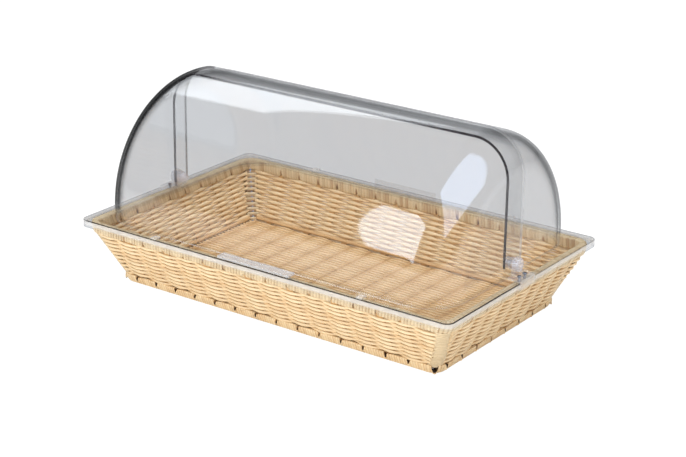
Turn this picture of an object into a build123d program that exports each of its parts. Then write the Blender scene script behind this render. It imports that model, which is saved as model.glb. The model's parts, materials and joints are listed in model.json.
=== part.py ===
from build123d import *
import math
import os

# Countertop bread display bin: a flared woven basket on a hidden steel wire frame, with a clear
# roll-top cover resting on its rim. Millimetres. +Z is up, +X runs along the length, -Y is the
# front. The origin is the middle of the underside, on the counter.

# ---- overall sizes
cover_length = 530.0  # outer edge of the clear frame: one full-size catering pan
cover_depth = 325.0
flange_top = 82.0  # top face of the clear frame above the counter
base_length = 455.0  # outline of the woven walls, carried down to the counter
base_depth = 249.0

# ---- woven basket, with wall sizes measured level
wall_thickness = 7.5
wall_corner_radius = 16.0
rim_height = 14.5
rim_width = 10.0
rim_lean = 2.5  # the rim's foot stands in from its top edge
rim_step = 2.5  # the wall stands in from the rim's foot
rim_gap = 0.6  # rim to the cover's skirt
rim_edge_radius = 2.4
floor_height = 2.0
floor_thickness = 6.5
floor_gap = 0.1
border_height = 11.0
border_bulge = 1.5  # the plaited foot stands out from the wall
border_edge_radius = 3.0

# ---- flat stakes that the weave is worked on
stake_pitch = 30.6
stake_width = 8.0
stake_thickness = 2.4
stake_tuck = 6.0  # stakes run this far up into the rim, ending under the top wire

# ---- steel wire frame inside the weave
top_rod_radius = 2.5
base_rod_radius = 1.4
corner_rod_radius = 2.0
rod_clearance = 0.15
rod_web = 0.4  # wrapping between the ring wires and the ends or bends of the stakes

# ---- clear frame
flange_thickness = 2.5
flange_gap = 0.3  # rim to the flange
skirt_height = 9.0
skirt_thickness = 2.2
frame_corner_radius = 10.0
frame_edge_radius = 0.8
end_flange_width = 26.5
side_flange_width = 21.5
opening_corner_radius = 44.0
stop_spacing = 296.0
stop_width = 8.0
stop_depth = 9.0
stop_height = 2.2
stop_edge_radius = 0.8

# ---- roll-top covers
pivot_rise = 14.0  # pivot axis above the flange
side_ledge = 12.5  # front cover's lower edge to the frame's front edge
end_ledge = 18.0  # front cover's end wall to the frame's end
front_corner_radius = 50.0
cover_wall = 3.0
cover_gap = 1.4  # between the outer and the inner cover, all round
seat_gap = 0.3  # lower edges of the covers to the flange
bond_line = 0.05
grip_length = 102.0
grip_thickness = 3.0
grip_edge_radius = 0.9
grip_setback = 0.2  # grip's front edge behind the frame's edge
pad_length = 92.0
pad_thickness = 0.4
pad_rib_height = 0.5
pad_rib_count = 5
pad_rib_share = 0.5  # of each rib's pitch that is rib
pad_top_drop = 1.0  # top of the pad below the pivot axis

# ---- pivots
pin_radius = 3.0
pin_fit = 0.05  # radial clearance round the pin
pin_head_radius = 8.0
pin_head_thickness = 2.5
pin_head_edge_radius = 0.8
pin_tail = 0.8  # pin shows this far past its retainer
washer_radius = 7.5
washer_side_gap = 0.15
retainer_radius = 6.5
retainer_thickness = 3.0
retainer_edge_radius = 0.6
bracket_gap = 1.0  # bracket to the outer cover
bracket_width = 18.0
bracket_thickness = 4.0
bracket_foot = 2.5
bracket_edge_radius = 0.6
saddle_width = 32.0
saddle_thickness = 2.4
saddle_fit = 0.3
screw_radius = 1.5
screw_fit = 0.05
screw_spacing = 12.0
screw_head_radius = 2.6
screw_head_height = 1.4
screw_slot_width = 0.8
screw_slot_depth = 0.6
screw_inset = 8.0  # screws from the frame's end

# ---- worked out from the sizes above
flange_foot = flange_top - flange_thickness
skirt_foot = flange_top - skirt_height
rim_top = flange_foot - flange_gap
rim_foot = rim_top - rim_height
rim_length = cover_length - 2 * (skirt_thickness + rim_gap)
rim_depth = cover_depth - 2 * (skirt_thickness + rim_gap)
rim_corner_radius = wall_corner_radius + rim_step
inner_corner_radius = wall_corner_radius - wall_thickness / 2
opening_length = cover_length - 2 * end_flange_width
opening_depth = cover_depth - 2 * side_flange_width
wall_flare_x = ((rim_length - base_length) / 2 - rim_lean - rim_step) / rim_foot
wall_flare_y = ((rim_depth - base_depth) / 2 - rim_lean - rim_step) / rim_foot
floor_top = floor_height + floor_thickness
floor_middle = floor_height + floor_thickness / 2
stake_top = rim_foot + stake_tuck
stake_middle = wall_thickness / 2
stake_half = stake_thickness / 2
stake_low = floor_middle - stake_half
stake_high = floor_middle + stake_half
top_rod_height = stake_top + rod_web + rod_clearance + top_rod_radius
base_rod_height = stake_low - rod_web - rod_clearance - base_rod_radius
pivot_height = flange_top + pivot_rise
seat_height = flange_top + seat_gap
overlap = pivot_height - seat_height  # each cover reaches this far past the pivot plane
front_radius = cover_depth / 2 - side_ledge
front_half_length = cover_length / 2 - end_ledge
nesting = cover_wall + cover_gap
rear_radius = front_radius - nesting
rear_half_length = front_half_length - nesting
rear_corner_radius = front_corner_radius - nesting
pivot_axis = Axis((0, 0, pivot_height), (1, 0, 0))
bracket_inside = front_half_length + bracket_gap
bracket_outside = bracket_inside + bracket_thickness
retainer_outside = rear_half_length - cover_wall - washer_side_gap
retainer_inside = retainer_outside - retainer_thickness
screw_x = cover_length / 2 - screw_inset
foot_top = flange_top + bracket_foot
beyond = cover_length  # longer than anything that is cut with it


def half_x(level, inset=0.0):
    """Half length of the flared wall at a level, moved in by inset."""
    return base_length / 2 + wall_flare_x * level - inset


def half_y(level, inset=0.0):
    """Half depth of the flared wall at a level, moved in by inset."""
    return base_depth / 2 + wall_flare_y * level - inset


def stake_places(half):
    """Middles of the stakes along a wall, as many as fit between its corner posts."""
    room = 2 * half(border_height, wall_corner_radius) - stake_width
    count = int(room // stake_pitch) + 1
    return [(number - (count - 1) / 2) * stake_pitch for number in range(count)]


def outline(level, length, depth, radius):
    """A level face with rounded corners."""
    with BuildSketch(Plane.XY.offset(level)) as flat:
        RectangleRounded(length, depth, radius)
    return flat.sketch.face()


def flared(low, high, inset):
    """The basket's flared block between two levels, moved in by inset."""
    radius = wall_corner_radius - inset / 2
    with BuildPart() as block:
        loft(
            [
                outline(low, 2 * half_x(low, inset), 2 * half_y(low, inset), radius),
                outline(high, 2 * half_x(high, inset), 2 * half_y(high, inset), radius),
            ],
            ruled=True,
        )
    return block.part


def rim_block(inset, radius):
    """The leaning rim's block, moved in by inset, with the corner radius of its foot."""
    foot = 2 * (rim_lean + inset)
    with BuildPart() as block:
        with BuildSketch(Plane.XY.offset(rim_foot)):
            RectangleRounded(rim_length - foot, rim_depth - foot, radius)
        extrude(amount=rim_height, taper=-math.degrees(math.atan(rim_lean / rim_height)))
    return block.part


def side_wedge(across):
    """Everything between the slanted corner lines of the long walls, or of the end walls."""
    half, plane = (half_x, Plane.XZ) if across else (half_y, Plane.YZ)
    low = half(0, wall_corner_radius)
    high = half(rim_foot, wall_corner_radius)
    with BuildPart() as wedge:
        with BuildSketch(plane):
            Polygon((-low, 0), (low, 0), (high, rim_foot), (-high, rim_foot), align=None)
        extrude(amount=beyond, both=True)
    return wedge.part


def bent_ring(level, length, depth, corner_radius, radius):
    """A round rod bent into a closed rectangle with rounded corners."""
    path = outline(level, length, depth, corner_radius).outer_wire()
    with BuildPart() as ring:
        with BuildSketch(Plane(origin=path @ 0, z_dir=path % 0)):
            Circle(radius)
        sweep(path=path)
    return ring.part


def ring_corner(level, length, depth, corner_radius):
    """Middle of the bent corner, in the +X +Y quarter, of a ring's centre line."""
    shift = corner_radius * (1 - math.sqrt(0.5))
    return Vector(length / 2 - shift, depth / 2 - shift, level)


top_ring = (
    top_rod_height,
    rim_length - rim_lean - rim_width,
    rim_depth - rim_lean - rim_width,
    rim_corner_radius - rim_width / 2,
)
base_ring = (
    base_rod_height,
    2 * half_x(base_rod_height, stake_middle),
    2 * half_y(base_rod_height, stake_middle),
    wall_corner_radius - stake_middle,
)


def corner_struts(radius):
    """Four straight rods between the corners of the two rings."""
    foot = ring_corner(*base_ring)
    rise = ring_corner(*top_ring) - foot
    with BuildPart() as strut:
        with BuildSketch(Plane(origin=foot, z_dir=rise)):
            Circle(radius)
        extrude(amount=rise.length)
        mirror(about=Plane.YZ)
        mirror(about=Plane.XZ)
    return strut.part


def dome(radius, half_length, corner_radius):
    """A solid of revolution about the pivot axis, with rounded ends."""
    with BuildPart() as whole:
        with BuildSketch(Plane.XZ) as profile:
            with Locations((0, pivot_height)):
                Rectangle(2 * half_length, radius, align=(Align.CENTER, Align.MIN))
            fillet(profile.vertices().group_by(Axis.Y)[-1], corner_radius)
        revolve(axis=pivot_axis)
    return whole.part


def cover_quarter(reach):
    """What one cover keeps of its dome: above the seat, and past the pivot plane by reach.

    The corner beside the pivot is an arc about it, so that it clears the flange as it turns.
    """
    across = Align.MAX if reach > 0 else Align.MIN
    with BuildPart() as block:
        with BuildSketch(Plane.YZ) as section:
            with Locations((reach, seat_height)):
                Rectangle(beyond, beyond, align=(across, Align.MIN))
            corner = section.vertices().sort_by_distance((reach, seat_height))[0]
            fillet(corner, abs(reach))
        extrude(amount=beyond, both=True)
    return block.part


def round_bar(radius, start, end):
    """A round bar about the pivot axis between two places along it."""
    with BuildPart() as bar:
        with BuildSketch(Plane.YZ.offset(start)):
            with Locations((0, pivot_height)):
                Circle(radius)
        extrude(amount=end - start)
    return bar.part


os.makedirs("parts", exist_ok=True)

# ---- cross stakes: each runs down the front wall, across the floor and up the rear wall
stake_outline = [
    (half_y(stake_low, stake_middle) + stake_half, stake_low),
    (half_y(stake_top, stake_middle) + stake_half, stake_top),
    (half_y(stake_top, stake_middle) - stake_half, stake_top),
    (half_y(stake_high, stake_middle) - stake_half, stake_high),
]
stake_outline += [(-y, z) for y, z in reversed(stake_outline)]
with BuildPart() as cross_stakes:
    for place in stake_places(half_x):
        with BuildSketch(Plane.YZ.offset(place - stake_width / 2)):
            Polygon(*stake_outline, align=None)
    extrude(amount=stake_width)
cross_stakes.part.label = "cross_stakes"
export_step(cross_stakes.part, "parts/cross_stakes.step")

# ---- end stakes: short straps in the two end walls
with BuildPart() as end_stakes:
    for place in stake_places(half_y):
        with BuildSketch(Plane.XZ.offset(place - stake_width / 2)):
            Polygon(
                (half_x(stake_low, stake_middle) + stake_half, stake_low),
                (half_x(stake_top, stake_middle) + stake_half, stake_top),
                (half_x(stake_top, stake_middle) - stake_half, stake_top),
                (half_x(stake_low, stake_middle) - stake_half, stake_low),
                align=None,
            )
    extrude(amount=stake_width)
    mirror(about=Plane.YZ)
end_stakes.part.label = "end_stakes"
export_step(end_stakes.part, "parts/end_stakes.step")

# ---- steel wire frame: two bent rings and four corner rods
with BuildPart() as top_rod:
    add(bent_ring(*top_ring, top_rod_radius))
top_rod.part.label = "top_rod"
export_step(top_rod.part, "parts/top_rod.step")

with BuildPart() as base_rod:
    add(bent_ring(*base_ring, base_rod_radius))
base_rod.part.label = "base_rod"
export_step(base_rod.part, "parts/base_rod.step")

with BuildPart() as corner_rods:
    add(corner_struts(corner_rod_radius))
    add(top_rod.part, mode=Mode.SUBTRACT)
    add(base_rod.part, mode=Mode.SUBTRACT)
corner_rods.part.label = "corner_rods"
export_step(corner_rods.part, "parts/corner_rods.step")

# ---- channels that the weave leaves round the wires and stakes
with BuildPart() as channels:
    add(bent_ring(*top_ring, top_rod_radius + rod_clearance))
    add(bent_ring(*base_ring, base_rod_radius + rod_clearance))
    add(corner_struts(corner_rod_radius + rod_clearance))

with BuildPart() as wall_shell:
    add(flared(border_height, rim_foot, 0))
    add(flared(border_height, rim_foot, wall_thickness), mode=Mode.SUBTRACT)

# ---- woven walls, one panel a side
with BuildPart() as long_walls:
    add(wall_shell.part)
    add(side_wedge(True), mode=Mode.INTERSECT)
    add(cross_stakes.part, mode=Mode.SUBTRACT)

with BuildPart() as end_walls:
    add(wall_shell.part)
    add(side_wedge(False), mode=Mode.INTERSECT)
    add(end_stakes.part, mode=Mode.SUBTRACT)

with BuildPart() as front_weave:
    add(long_walls.part.solids().sort_by(Axis.Y)[0])
front_weave.part.label = "front_weave"
export_step(front_weave.part, "parts/front_weave.step")

with BuildPart() as rear_weave:
    add(long_walls.part.solids().sort_by(Axis.Y)[-1])
rear_weave.part.label = "rear_weave"
export_step(rear_weave.part, "parts/rear_weave.step")

with BuildPart() as left_weave:
    add(end_walls.part.solids().sort_by(Axis.X)[0])
left_weave.part.label = "left_weave"
export_step(left_weave.part, "parts/left_weave.step")

with BuildPart() as right_weave:
    add(end_walls.part.solids().sort_by(Axis.X)[-1])
right_weave.part.label = "right_weave"
export_step(right_weave.part, "parts/right_weave.step")

# ---- wrapped corner posts
with BuildPart() as corner_posts:
    add(wall_shell.part)
    add(side_wedge(True), mode=Mode.SUBTRACT)
    add(side_wedge(False), mode=Mode.SUBTRACT)
    add(channels.part, mode=Mode.SUBTRACT)
corner_posts.part.label = "corner_posts"
export_step(corner_posts.part, "parts/corner_posts.step")

# ---- woven floor
with BuildPart() as floor_weave:
    add(flared(floor_height, floor_top, wall_thickness + floor_gap))
    add(cross_stakes.part, mode=Mode.SUBTRACT)
floor_weave.part.label = "floor_weave"
export_step(floor_weave.part, "parts/floor_weave.step")

# ---- plaited foot border
with BuildPart() as base_border:
    add(flared(0, border_height, -border_bulge))
    fillet(base_border.faces().sort_by(Axis.Z)[0].edges(), border_edge_radius)
    add(flared(0, border_height, wall_thickness), mode=Mode.SUBTRACT)
    add(cross_stakes.part, mode=Mode.SUBTRACT)
    add(end_stakes.part, mode=Mode.SUBTRACT)
    add(channels.part, mode=Mode.SUBTRACT)
base_border.part.label = "base_border"
export_step(base_border.part, "parts/base_border.step")

# ---- wrapped rim
with BuildPart() as rim_wrap:
    add(rim_block(0, rim_corner_radius))
    fillet(rim_wrap.faces().sort_by(Axis.Z)[0].edges(), rim_edge_radius)
    fillet(rim_wrap.faces().sort_by(Axis.Z)[-1].edges(), rim_edge_radius)
    add(rim_block(rim_width, inner_corner_radius), mode=Mode.SUBTRACT)
    add(cross_stakes.part, mode=Mode.SUBTRACT)
    add(end_stakes.part, mode=Mode.SUBTRACT)
    add(channels.part, mode=Mode.SUBTRACT)
rim_wrap.part.label = "rim_wrap"
export_step(rim_wrap.part, "parts/rim_wrap.step")

# ---- clear frame: a flat flange with a skirt that drops round the rim
with BuildPart() as cover_frame:
    with BuildSketch(Plane.XY.offset(skirt_foot)):
        RectangleRounded(cover_length, cover_depth, frame_corner_radius)
    extrude(amount=skirt_height)
    fillet(cover_frame.faces().sort_by(Axis.Z)[-1].edges(), frame_edge_radius)
    with BuildSketch(Plane.XY.offset(skirt_foot)):
        RectangleRounded(
            cover_length - 2 * skirt_thickness,
            cover_depth - 2 * skirt_thickness,
            frame_corner_radius - skirt_thickness,
        )
    extrude(amount=skirt_height - flange_thickness, mode=Mode.SUBTRACT)
    with BuildSketch(Plane.XY.offset(skirt_foot)):
        RectangleRounded(opening_length, opening_depth, opening_corner_radius)
    extrude(amount=skirt_height, mode=Mode.SUBTRACT)
    with BuildSketch(Plane.XY.offset(flange_top)):
        with GridLocations(stop_spacing, cover_depth - stop_depth, 2, 2):
            Rectangle(stop_width, stop_depth)
    extrude(amount=stop_height)
    fillet(
        cover_frame.faces().filter_by(Axis.Z).sort_by(Axis.Z)[-1:-5:-1].edges(), stop_edge_radius
    )
    with BuildSketch(Plane.XY.offset(skirt_foot)):
        with GridLocations(cover_length - saddle_thickness - saddle_fit, 1, 2, 1):
            Rectangle(saddle_thickness + saddle_fit, saddle_width + 2 * saddle_fit)
    extrude(amount=skirt_height, mode=Mode.SUBTRACT)
    with BuildSketch(Plane.XY.offset(flange_foot)):
        with GridLocations(2 * screw_x, screw_spacing, 2, 2):
            Circle(screw_radius + screw_fit)
    extrude(amount=flange_thickness, mode=Mode.SUBTRACT)
cover_frame.part.label = "cover_frame"
export_step(cover_frame.part, "parts/cover_frame.step")

# ---- pivot brackets: an upright on a foot, with a saddle over the frame's end
with BuildPart() as right_pivot_bracket:
    with BuildSketch(Plane.XZ):
        Polygon(
            (bracket_inside, flange_top),
            (cover_length / 2 - saddle_thickness, flange_top),
            (cover_length / 2 - saddle_thickness, skirt_foot),
            (cover_length / 2, skirt_foot),
            (cover_length / 2, foot_top),
            (bracket_inside, foot_top),
            align=None,
        )
    extrude(amount=saddle_width / 2, both=True)
    fillet(
        right_pivot_bracket.edges().filter_by(Axis.Y).group_by(Axis.X)[-1], bracket_edge_radius
    )
    with BuildSketch(Plane.YZ.offset(bracket_inside)):
        with Locations((0, pivot_height)):
            Circle(bracket_width / 2)
            Rectangle(bracket_width, pivot_rise, align=(Align.CENTER, Align.MAX))
    extrude(amount=bracket_thickness)
    add(round_bar(pin_radius + pin_fit, bracket_inside, bracket_outside), mode=Mode.SUBTRACT)
    with BuildSketch(Plane.XY.offset(flange_top)):
        with Locations((screw_x, screw_spacing / 2), (screw_x, -screw_spacing / 2)):
            Circle(screw_radius + screw_fit)
    extrude(amount=bracket_foot, mode=Mode.SUBTRACT)
right_pivot_bracket.part.label = "right_pivot_bracket"
export_step(right_pivot_bracket.part, "parts/right_pivot_bracket.step")

with BuildPart() as left_pivot_bracket:
    add(mirror(right_pivot_bracket.part, about=Plane.YZ, mode=Mode.PRIVATE))
left_pivot_bracket.part.label = "left_pivot_bracket"
export_step(left_pivot_bracket.part, "parts/left_pivot_bracket.step")

# ---- bracket screws
with BuildPart() as bracket_screws:
    with BuildSketch(Plane.XY.offset(flange_foot)):
        with GridLocations(2 * screw_x, screw_spacing, 2, 2):
            Circle(screw_radius)
    extrude(amount=flange_thickness + bracket_foot)
    with BuildSketch(Plane.XY.offset(foot_top)):
        with GridLocations(2 * screw_x, screw_spacing, 2, 2):
            Circle(screw_head_radius)
    extrude(amount=screw_head_height)
    fillet(
        bracket_screws.edges().filter_by(GeomType.CIRCLE).group_by(Axis.Z)[-1],
        screw_head_height / 2,
    )
    with BuildSketch(Plane.XY.offset(foot_top + screw_head_height - screw_slot_depth)):
        with GridLocations(2 * screw_x, screw_spacing, 2, 2):
            Rectangle(2 * screw_head_radius, screw_slot_width)
    extrude(amount=screw_slot_depth, mode=Mode.SUBTRACT)
bracket_screws.part.label = "bracket_screws"
export_step(bracket_screws.part, "parts/bracket_screws.step")

# ---- pivot pins, with a flat round head outside the bracket
with BuildPart() as right_pivot_pin:
    add(round_bar(pin_head_radius, bracket_outside, bracket_outside + pin_head_thickness))
    fillet(
        right_pivot_pin.edges().filter_by(GeomType.CIRCLE).sort_by(Axis.X)[-1],
        pin_head_edge_radius,
    )
    add(round_bar(pin_radius, retainer_inside - pin_tail, bracket_outside))
right_pivot_pin.part.label = "right_pivot_pin"
export_step(right_pivot_pin.part, "parts/right_pivot_pin.step")

with BuildPart() as left_pivot_pin:
    add(mirror(right_pivot_pin.part, about=Plane.YZ, mode=Mode.PRIVATE))
left_pivot_pin.part.label = "left_pivot_pin"
export_step(left_pivot_pin.part, "parts/left_pivot_pin.step")

# ---- washers: one between bracket and outer cover, one between the two covers, each end
with BuildPart() as pivot_washers:
    for inside, outside in (
        (front_half_length, bracket_inside),
        (rear_half_length, front_half_length - cover_wall),
    ):
        add(round_bar(washer_radius, inside + washer_side_gap, outside - washer_side_gap))
    add(round_bar(pin_radius + pin_fit, 0, beyond), mode=Mode.SUBTRACT)
    mirror(about=Plane.YZ)
pivot_washers.part.label = "pivot_washers"
export_step(pivot_washers.part, "parts/pivot_washers.step")

# ---- push-on retainers at the pins' inner ends
with BuildPart() as pin_retainers:
    add(round_bar(retainer_radius, retainer_inside, retainer_outside))
    fillet(
        pin_retainers.edges().filter_by(GeomType.CIRCLE).sort_by(Axis.X)[0], retainer_edge_radius
    )
    add(round_bar(pin_radius + pin_fit, 0, beyond), mode=Mode.SUBTRACT)
    mirror(about=Plane.YZ)
pin_retainers.part.label = "pin_retainers"
export_step(pin_retainers.part, "parts/pin_retainers.step")

# ---- front cover: the outer quarter of the roll top
with BuildPart() as front_cover:
    add(dome(front_radius, front_half_length, front_corner_radius))
    add(
        dome(
            front_radius - cover_wall,
            front_half_length - cover_wall,
            front_corner_radius - cover_wall,
        ),
        mode=Mode.SUBTRACT,
    )
    add(cover_quarter(overlap), mode=Mode.INTERSECT)
    add(round_bar(pin_radius + pin_fit, -beyond, beyond), mode=Mode.SUBTRACT)
front_cover.part.label = "front_cover"
export_step(front_cover.part, "parts/front_cover.step")

# ---- rear cover: the inner quarter, which slides under the outer one
with BuildPart() as rear_cover:
    add(dome(rear_radius, rear_half_length, rear_corner_radius))
    add(
        dome(
            rear_radius - cover_wall,
            rear_half_length - cover_wall,
            rear_corner_radius - cover_wall,
        ),
        mode=Mode.SUBTRACT,
    )
    add(cover_quarter(-overlap), mode=Mode.INTERSECT)
    add(round_bar(pin_radius + pin_fit, -beyond, beyond), mode=Mode.SUBTRACT)
rear_cover.part.label = "rear_cover"
export_step(rear_cover.part, "parts/rear_cover.step")

# ---- front grip: a flat lip on the front cover's lower edge
with BuildPart() as front_grip:
    with BuildSketch(Plane.YZ):
        with Locations((grip_setback - cover_depth / 2, seat_height)):
            Rectangle(
                cover_depth / 2 - grip_setback, grip_thickness, align=(Align.MIN, Align.MIN)
            )
    extrude(amount=grip_length / 2, both=True)
    fillet(front_grip.faces().sort_by(Axis.Y)[0].edges(), grip_edge_radius)
    add(round_bar(front_radius + bond_line, -grip_length, grip_length), mode=Mode.SUBTRACT)
front_grip.part.label = "front_grip"
export_step(front_grip.part, "parts/front_grip.step")

# ---- rear grip: a low ribbed pad that passes under the front cover
pad_inside = rear_radius + bond_line
pad_face = pad_inside + pad_thickness
pad_crest = pad_face + pad_rib_height
pad_top = pivot_height - pad_top_drop
rib_pitch = (pad_top - seat_height) / pad_rib_count
rib_width = rib_pitch * pad_rib_share
with BuildPart() as rear_grip:
    with BuildSketch(Plane.YZ.offset(-pad_length / 2)):
        with Locations((0, pivot_height)):
            Circle(pad_crest)
        with Locations((0, seat_height)):
            Rectangle(
                beyond, pad_top - seat_height, align=(Align.MIN, Align.MIN), mode=Mode.INTERSECT
            )
        with Locations((0, pivot_height)):
            Circle(pad_inside, mode=Mode.SUBTRACT)
    extrude(amount=pad_length)
    with BuildSketch(Plane.YZ.offset(-pad_length / 2)) as grooves:
        for number in range(pad_rib_count):
            with Locations((0, seat_height + rib_width + number * rib_pitch)):
                Rectangle(beyond, rib_pitch - rib_width, align=(Align.MIN, Align.MIN))
        with Locations((0, pivot_height)):
            Circle(pad_face, mode=Mode.SUBTRACT)
    extrude(amount=pad_length, mode=Mode.SUBTRACT)
rear_grip.part.label = "rear_grip"
export_step(rear_grip.part, "parts/rear_grip.step")
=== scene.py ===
import json
import math
import random

import bmesh
import bpy
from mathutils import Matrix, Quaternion, Vector


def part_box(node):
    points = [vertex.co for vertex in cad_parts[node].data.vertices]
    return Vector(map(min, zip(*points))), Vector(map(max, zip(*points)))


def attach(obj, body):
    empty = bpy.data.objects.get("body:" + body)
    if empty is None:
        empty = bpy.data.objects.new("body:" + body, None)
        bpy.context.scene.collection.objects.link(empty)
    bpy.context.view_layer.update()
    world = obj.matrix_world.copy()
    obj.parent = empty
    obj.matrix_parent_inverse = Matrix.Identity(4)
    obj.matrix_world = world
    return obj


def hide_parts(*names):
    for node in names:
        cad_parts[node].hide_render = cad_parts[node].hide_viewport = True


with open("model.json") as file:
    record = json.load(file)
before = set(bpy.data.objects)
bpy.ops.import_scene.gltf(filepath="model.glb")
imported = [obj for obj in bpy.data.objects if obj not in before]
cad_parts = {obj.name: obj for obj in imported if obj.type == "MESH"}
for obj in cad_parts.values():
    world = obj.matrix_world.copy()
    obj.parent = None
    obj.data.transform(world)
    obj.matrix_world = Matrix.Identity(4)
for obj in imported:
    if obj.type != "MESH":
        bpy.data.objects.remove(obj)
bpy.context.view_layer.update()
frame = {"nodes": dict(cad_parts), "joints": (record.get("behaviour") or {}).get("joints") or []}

# Countertop bread display bin. Metres, as the frame has them: +Z up, +X along the length, -Y the front.

MM = 0.001

# ---- the camera, as the photograph has it
PHOTO_WIDTH = 686  # pixels
LENS_PIXELS = 1829.3
SENSOR_MM = 36.0
AZIMUTH = math.radians(35.6)
ELEVATION = math.radians(20.6)
ROLL = math.radians(0.7)
DISTANCE = 2.1886
TARGET = Vector((0.0069, 0.0039, 0.082))
NEAREST_SEEN = 50.0 * MM

# ---- the basket's forms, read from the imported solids
RIM_LOW, RIM_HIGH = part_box("rim_wrap")
WALL_LOW, WALL_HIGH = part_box("rear_weave")
END_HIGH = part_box("right_weave")[1]
FOOT_LOW, FOOT_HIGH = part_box("base_border")
FLOOR_LOW, FLOOR_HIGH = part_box("floor_weave")
FRAME_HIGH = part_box("cover_frame")[1]
FRONT_LOW, FRONT_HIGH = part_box("front_cover")
REAR_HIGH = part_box("rear_cover")[1]
PIVOT = next(Vector(j["pos_m"]) for j in frame["joints"] if j["name"] == "front_cover_hinge")

CROSS_STAKES = 14
END_STAKES = 8
STAKE_PITCH = 30.6 * MM
STAKE_HALF = 4.0 * MM
WALL_THICKNESS = 7.5 * MM
CORNER_RADIUS = 16.0 * MM
BORDER_BULGE = 1.5 * MM  # the foot stands out from the walls
RIM_WIDTH = 10.0 * MM
RIM_LEAN = 2.5 * MM  # the rim's foot stands in from its top edge
RIM_CORNER = 18.5 * MM

WALL_FOOT, WALL_TOP = WALL_LOW.z, WALL_HIGH.z
HALF_X_TOP, HALF_Y_TOP = END_HIGH.x, WALL_HIGH.y
# How far the walls' outer faces lean out for each metre of height.
FLARE_X = (HALF_X_TOP - FOOT_HIGH.x + BORDER_BULGE) / (WALL_TOP - WALL_FOOT)
FLARE_Y = (HALF_Y_TOP - FOOT_HIGH.y + BORDER_BULGE) / (WALL_TOP - WALL_FOOT)
LEAN = math.atan((FLARE_X + FLARE_Y) / 2)

# ---- the clear cover
COVER_WALL = 3.0 * MM
FRONT_CORNER = 50.0 * MM
PIN_HOLE = 3.05 * MM  # radius
FRAME_CORNER = 10.0 * MM
OVERLAP = FRONT_HIGH.y - PIVOT.y  # each cover runs on this far past the pivots
NESTING = FRONT_HIGH.x - REAR_HIGH.x  # the inner cover is this much smaller all round
BENT_FROM = FRONT_HIGH.x - FRONT_CORNER
KEPT_EDGE = math.radians(35.0)  # the covers' edges stay sharp where they turn more than this


def start_clean():
    """Nothing selected, object mode."""
    if bpy.context.object and bpy.context.object.mode != "OBJECT":
        bpy.ops.object.mode_set(mode="OBJECT")
    bpy.ops.object.select_all(action="DESELECT")


def smooth(piece):
    """Smooth shading, with the sharper edges kept."""
    start_clean()
    piece.select_set(True)
    bpy.context.view_layer.objects.active = piece
    bpy.ops.object.shade_smooth_by_angle(angle=KEPT_EDGE)
    return piece


def new_piece(name, points, faces, material):
    """A mesh object from points and faces, with its finish."""
    mesh = bpy.data.meshes.new(name)
    mesh.from_pydata([tuple(p) for p in points], [], faces)
    mesh.validate()
    piece = bpy.data.objects.new(name, mesh)
    bpy.context.scene.collection.objects.link(piece)
    mesh.materials.append(material)
    return piece


def stands_for(piece, node, body):
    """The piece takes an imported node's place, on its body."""
    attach(piece, body)
    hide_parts(node)


# ---------------------------------------------------------------- camera


def aim_camera():
    """The photograph's camera: a long lens, turned round, looking down, and rolled a little."""
    back = Vector(
        (
            math.sin(AZIMUTH) * math.cos(ELEVATION),
            -math.cos(AZIMUTH) * math.cos(ELEVATION),
            math.sin(ELEVATION),
        )
    )
    level = Vector((math.cos(AZIMUTH), math.sin(AZIMUTH), 0.0))
    upright = back.cross(level)
    right = math.cos(ROLL) * level + math.sin(ROLL) * upright
    up = math.cos(ROLL) * upright - math.sin(ROLL) * level
    data = bpy.data.cameras.new("camera")
    data.sensor_fit = "HORIZONTAL"
    data.sensor_width = SENSOR_MM
    data.lens = LENS_PIXELS / PHOTO_WIDTH * SENSOR_MM
    data.clip_start = NEAREST_SEEN
    camera = bpy.data.objects.new("camera", data)
    bpy.context.scene.collection.objects.link(camera)
    turn = camera.matrix_world.to_3x3()
    turn.col[0], turn.col[1], turn.col[2] = right, up, back
    camera.matrix_world = turn.to_4x4()
    camera.location = TARGET + DISTANCE * back
    bpy.context.scene.camera = camera


aim_camera()


# ---------------------------------------------------------------- finishes

# Noise scales are in lumps a metre. A pair of shades or stops goes from the deep one to the pale one.
NOISE_DETAIL, GRAIN_DETAIL = 3.0, 4.0
MOTTLE_STOPS = (0.3, 0.7)

CANE_MOTTLE, CANE_GRAIN = 38.0, 900.0
CANE_ROUGHNESS, CANE_SPECULAR = 0.42, 0.45
GRAIN_STRENGTH, GRAIN_DEPTH = 0.12, 0.4 * MM
CORD_STOPS = (0.0, 0.3, 0.56, 0.86)  # painted near-black shade, painted shadow, deep and pale
STRAP_STOPS = (0.2, 0.75)
STRAND_SHARE = 0.6  # of a cord's shade that is the strand's own

STEEL_SHADES = ((0.2, 0.2, 0.21), (0.42, 0.42, 0.43))
STEEL_MOTTLE, STEEL_ROUGHNESS = 400.0, 0.38

# Clear plastic, met square on and at a glance, where a dark outline is painted in as shade.
SHEET = (0.978, 0.982, 0.986)  # what a face of a cover passes
MOULDING = (0.97, 0.975, 0.98)  # and a face of the other clear pieces
LIT_THROUGH = (1.0, 1.0, 1.0)  # what a face passes of the light that falls on the basket
SHEET_ROUGHNESS = 0.03
FACE_GLOSS = 0.05  # share mirrored where the sheet is met square on
GLANCE_GLOSS = 0.08  # and more of it at a glance
GLANCE_LATENESS = 5.0  # the higher, the nearer to a glance the mirroring starts
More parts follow.
